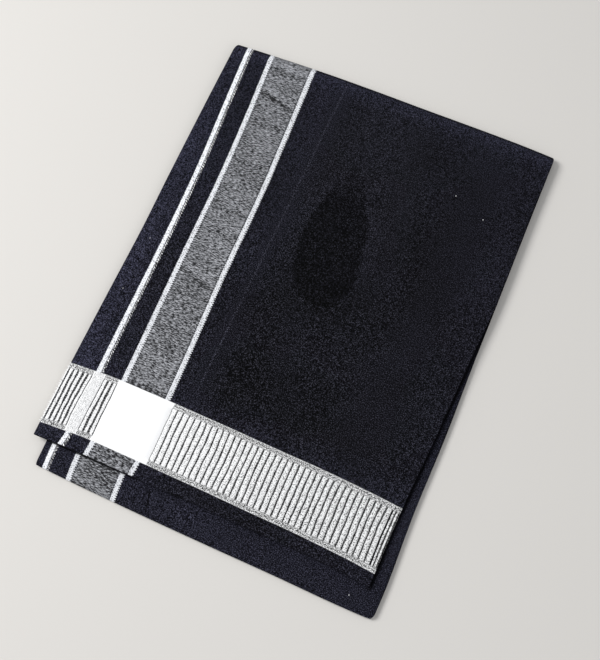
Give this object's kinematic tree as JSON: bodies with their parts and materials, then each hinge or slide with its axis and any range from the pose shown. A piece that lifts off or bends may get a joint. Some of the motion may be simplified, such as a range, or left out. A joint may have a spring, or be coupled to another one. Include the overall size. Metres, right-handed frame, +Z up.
{
  "type": "folded lungi",
  "caption": "Black cotton wrap cloth folded into a flat rectangular stack, with a striped grey border along one side and a ribbed white cross band near the hem.",
  "frame": {"origin": "centre of the bounding box at the level of the table that the cloth lies on", "axes": "+Z up from the table, +Y along the folded length from the hem to the far fold, +X across the folded width, so that the striped border is at -X"},
  "size_m": [0.3278, 0.4509, 0.009],
  "materials": {
    "black_cotton": "matte",
    "white_cotton": "matte",
    "grey_zari": "satin"
  },
  "bodies": {
    "root": {"top_leaf": "black_cotton", "inner_hem": "black_cotton", "lower_fold": "black_cotton", "under_leaf": "black_cotton", "hidden_layers": "black_cotton"}
  },
  "joints": []
}
